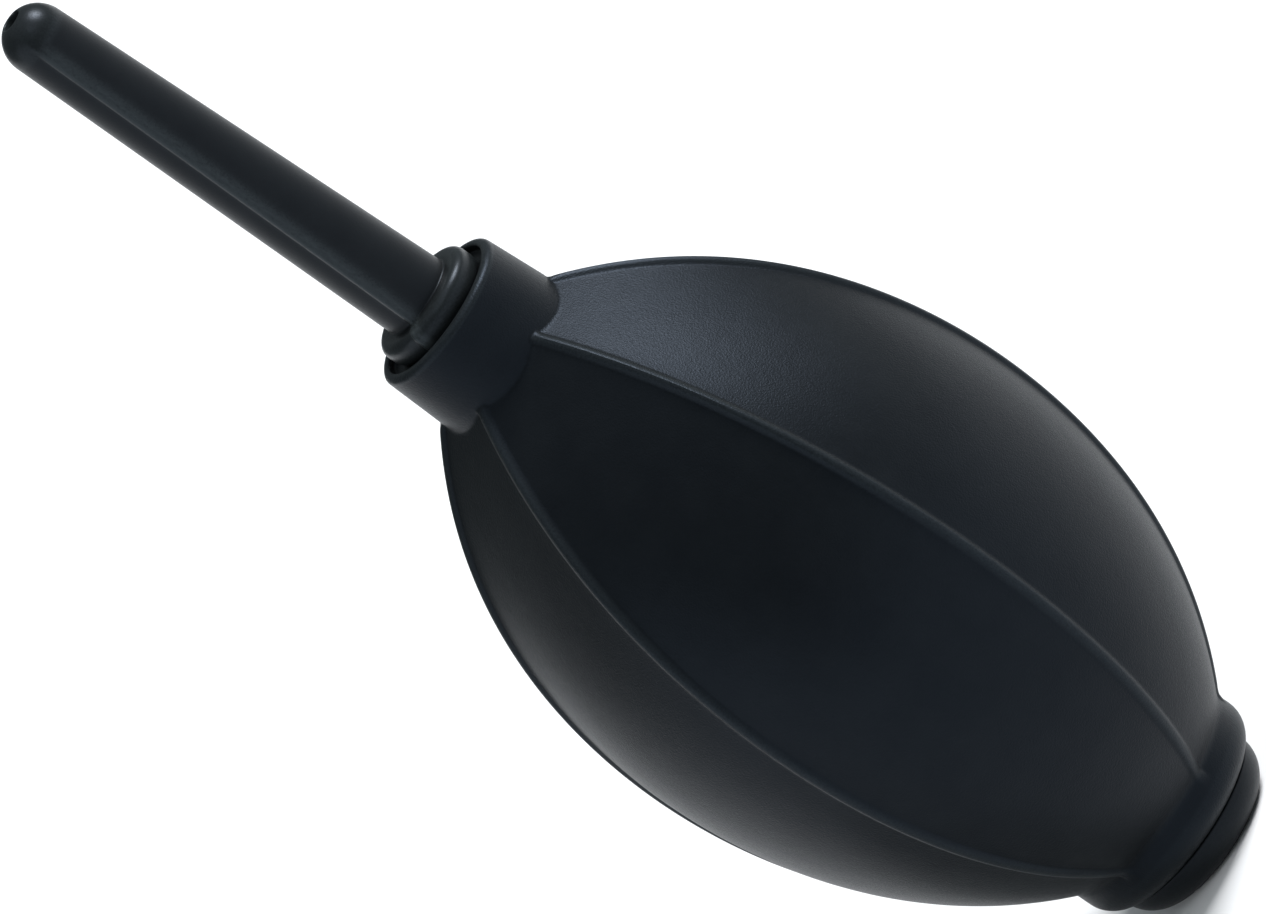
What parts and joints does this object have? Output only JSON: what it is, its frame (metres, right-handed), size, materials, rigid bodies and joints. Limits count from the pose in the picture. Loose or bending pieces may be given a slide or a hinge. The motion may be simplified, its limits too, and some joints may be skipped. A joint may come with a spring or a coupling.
{
  "type": "dust blower bulb",
  "caption": "Hand-squeezed dust blower: a ribbed rubber bulb with a push-in tapered nozzle, and one-way valves that draw air in at the tail and blow it out at the tip.",
  "frame": {"origin": "centre of the flat foot under the tail, which the part stands on", "axes": "+Z along the bulb's own axis, from the tail up to the nozzle's tip; +X through one of the six ribs"},
  "size_m": [0.0588, 0.0578, 0.1565],
  "materials": {
    "bulb_rubber": "fine matte grain",
    "nozzle_plastic": "satin",
    "housing_plastic": "satin",
    "valve_plastic": "natural, moulded",
    "valve_silicone": "matte",
    "filter_foam": "open-cell foam"
  },
  "bodies": {
    "bulb": {"bulb": "bulb_rubber"},
    "tail_valve": {"inlet_valve_housing": "housing_plastic", "inlet_valve_cage": "valve_plastic", "inlet_filter": "filter_foam", "inlet_vent_cap": "housing_plastic"},
    "inlet_disc": {"inlet_valve_disc": "valve_silicone"},
    "nozzle": {"nozzle": "nozzle_plastic", "outlet_valve_seat": "valve_plastic"},
    "outlet_disc": {"outlet_valve_disc": "valve_silicone"}
  },
  "joints": [
    {"name": "bulb_squeeze", "type": "slide", "parent": "bulb", "child": "tail_valve", "axis": [0, 0, 1], "range_m": [0, 0.02], "stiffness_N_per_m": 1500, "springref_m": -0.0013, "deforming": ["bulb"]},
    {"name": "inlet_valve_lift", "type": "slide", "parent": "tail_valve", "child": "inlet_disc", "axis": [0, 0, 1], "range_m": [0, 0.0012]},
    {"name": "nozzle_pull", "type": "slide", "parent": "bulb", "child": "nozzle", "axis": [0, 0, 1], "range_m": [0, 0.03]},
    {"name": "outlet_valve_lift", "type": "slide", "parent": "nozzle", "child": "outlet_disc", "axis": [0, 0, 1], "range_m": [0, 0.0012]}
  ]
}
